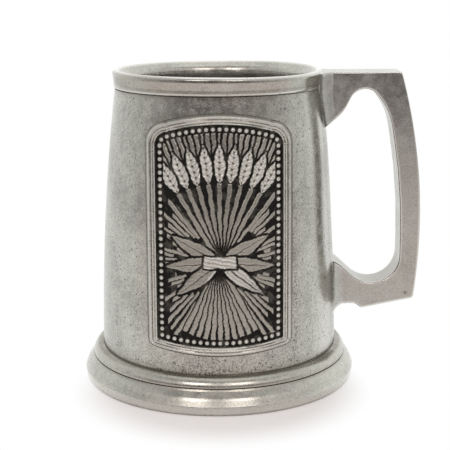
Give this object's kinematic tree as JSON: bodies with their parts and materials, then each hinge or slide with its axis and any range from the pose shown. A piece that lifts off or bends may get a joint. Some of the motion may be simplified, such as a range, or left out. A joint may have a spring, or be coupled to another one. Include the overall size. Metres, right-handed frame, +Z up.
{
  "type": "pewter tankard",
  "caption": "Lidless pint tankard in cast pewter: bowed drum on a moulded foot, banded rim, flat-sided loop handle and a relief plaque on the front, for drinking or display.",
  "frame": {"origin": "centre of the foot's resting face, on the drum's axis, at table level", "axes": "+Z up along the drum's axis, +X towards the handle's grip, -Y towards the plaque on the front"},
  "size_m": [0.1392, 0.1128, 0.127],
  "materials": {
    "cast_pewter": "satin",
    "turned_pewter": "satin",
    "dull_pewter": "matte",
    "blackened_pewter": "satin"
  },
  "bodies": {
    "root": {"drum": "cast_pewter", "rim_band": "turned_pewter", "floor_disc": "dull_pewter", "foot_collar": "turned_pewter", "foot_ring": "turned_pewter", "handle": "cast_pewter", "upper_root": "cast_pewter", "lower_root": "cast_pewter", "front_plaque": "blackened_pewter"}
  },
  "joints": []
}
